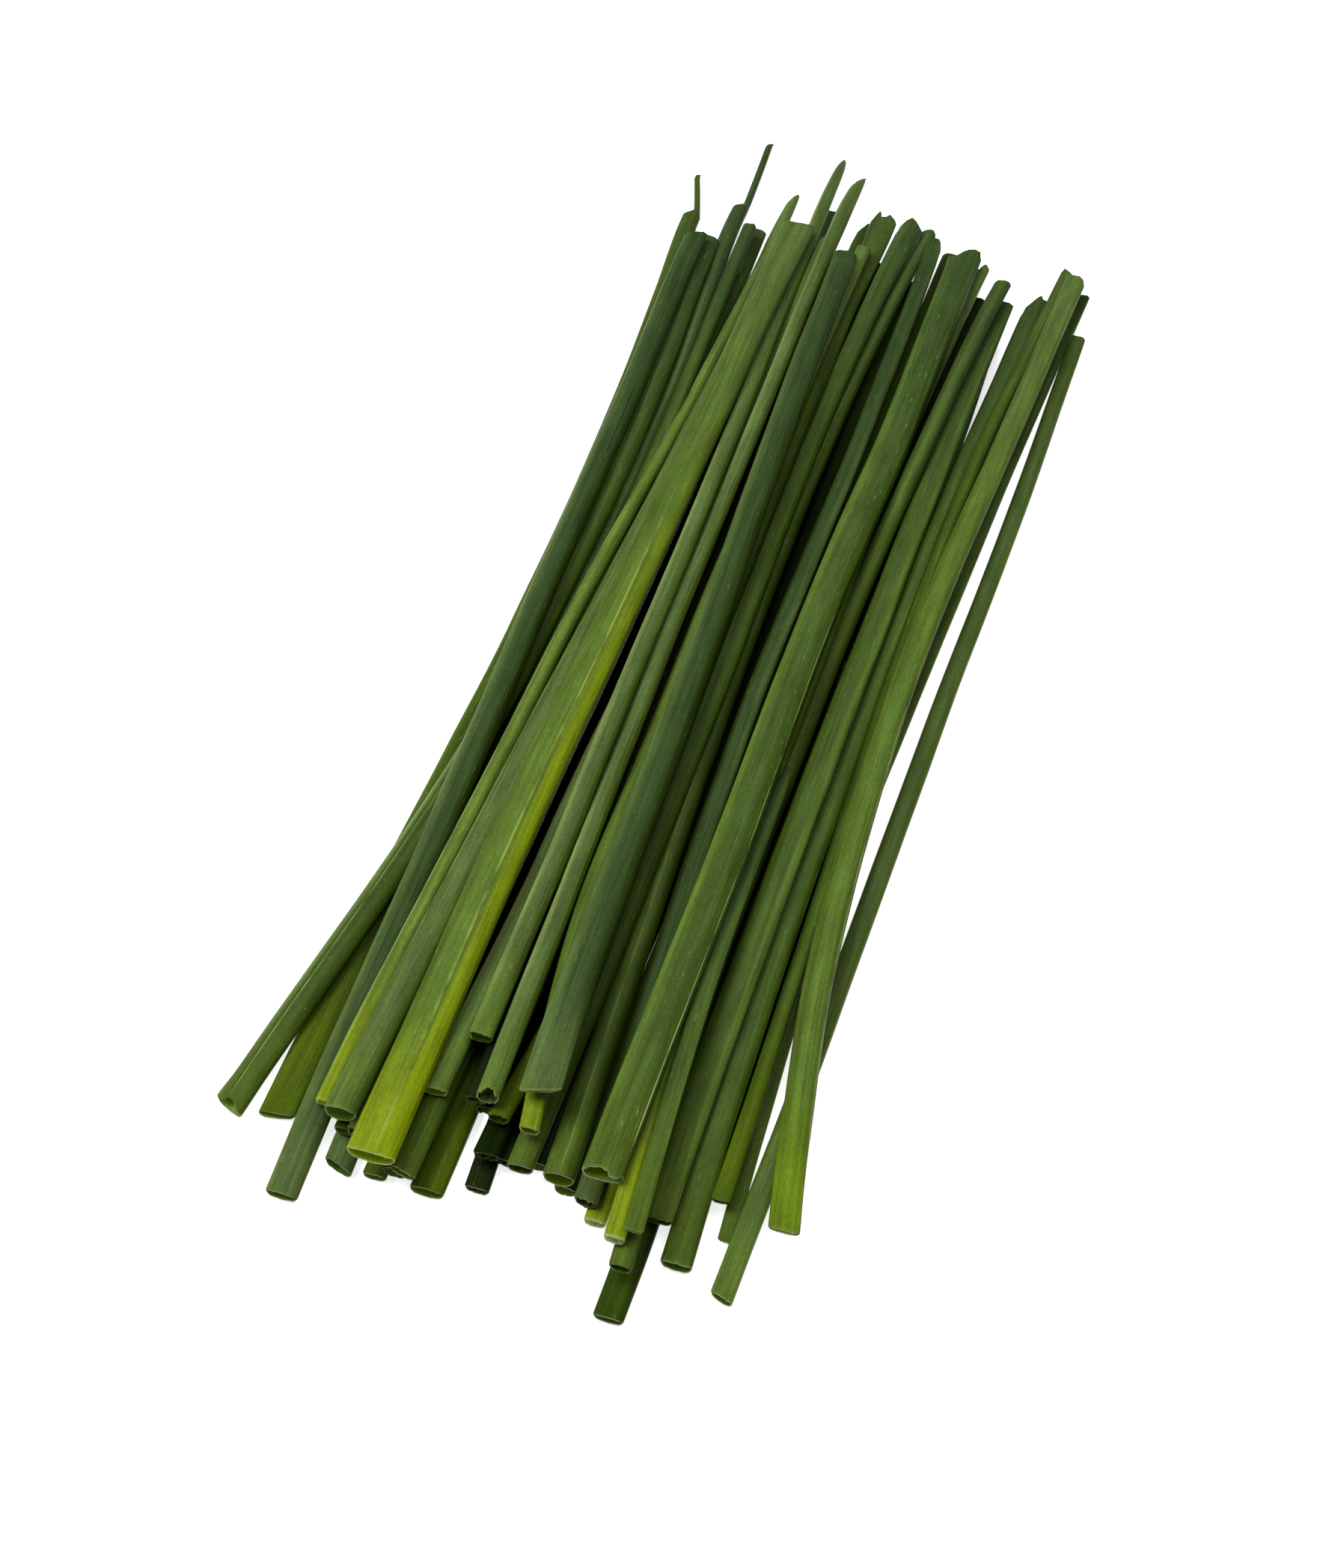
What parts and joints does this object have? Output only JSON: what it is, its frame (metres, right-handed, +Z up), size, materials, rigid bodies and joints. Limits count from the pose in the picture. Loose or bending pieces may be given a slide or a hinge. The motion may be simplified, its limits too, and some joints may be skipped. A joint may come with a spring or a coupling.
{
  "type": "chive bunch",
  "caption": "Loose bunch of fresh chives lying down: long, narrow, hollow green leaf blades laid side by side, cut square at one end, with torn, rounded or pointed tips at the other.",
  "frame": {"origin": "middle of the bunch's footprint, on the surface that it lies on", "axes": "+Y along the blades from their cut ends to their tips, +X across the bunch, +Z up"},
  "size_m": [0.0782, 0.222, 0.0117],
  "materials": {
    "leaf_deep_green": "satin",
    "leaf_bluish_green": "satin",
    "leaf_mid_green": "satin",
    "leaf_light_green": "satin",
    "leaf_yellow_green": "satin"
  },
  "bodies": {
    "root": {"bottom_blade_01": "leaf_light_green", "bottom_blade_02": "leaf_deep_green", "bottom_blade_03": "leaf_deep_green", "bottom_blade_04": "leaf_light_green", "bottom_blade_05": "leaf_deep_green", "bottom_blade_06": "leaf_deep_green", "bottom_blade_07": "leaf_deep_green", "bottom_blade_08": "leaf_deep_green", "bottom_blade_09": "leaf_deep_green", "bottom_blade_10": "leaf_deep_green", "bottom_blade_11": "leaf_light_green", "bottom_blade_12": "leaf_deep_green", "bottom_blade_13": "leaf_deep_green", "bottom_blade_14": "leaf_mid_green", "bottom_blade_15": "leaf_deep_green", "bottom_blade_16": "leaf_deep_green", "bottom_blade_17": "leaf_mid_green", "bottom_blade_18": "leaf_deep_green", "bottom_blade_19": "leaf_deep_green", "second_blade_01": "leaf_mid_green", "second_blade_02": "leaf_bluish_green", "second_blade_03": "leaf_deep_green", "second_blade_04": "leaf_mid_green", "second_blade_05": "leaf_deep_green", "second_blade_06": "leaf_deep_green", "second_blade_07": "leaf_mid_green", "second_blade_08": "leaf_deep_green", "second_blade_09": "leaf_mid_green", "second_blade_10": "leaf_bluish_green", "second_blade_11": "leaf_deep_green", "second_blade_12": "leaf_deep_green", "second_blade_13": "leaf_mid_green", "third_blade_01": "leaf_deep_green", "third_blade_02": "leaf_light_green", "third_blade_03": "leaf_mid_green", "third_blade_04": "leaf_yellow_green", "third_blade_05": "leaf_yellow_green", "third_blade_06": "leaf_light_green", "third_blade_07": "leaf_yellow_green", "top_blade_01": "leaf_mid_green", "top_blade_02": "leaf_light_green", "top_blade_03": "leaf_light_green", "top_blade_04": "leaf_mid_green", "top_blade_05": "leaf_mid_green", "top_blade_06": "leaf_light_green", "top_blade_07": "leaf_bluish_green", "top_blade_08": "leaf_yellow_green"}
  },
  "joints": []
}
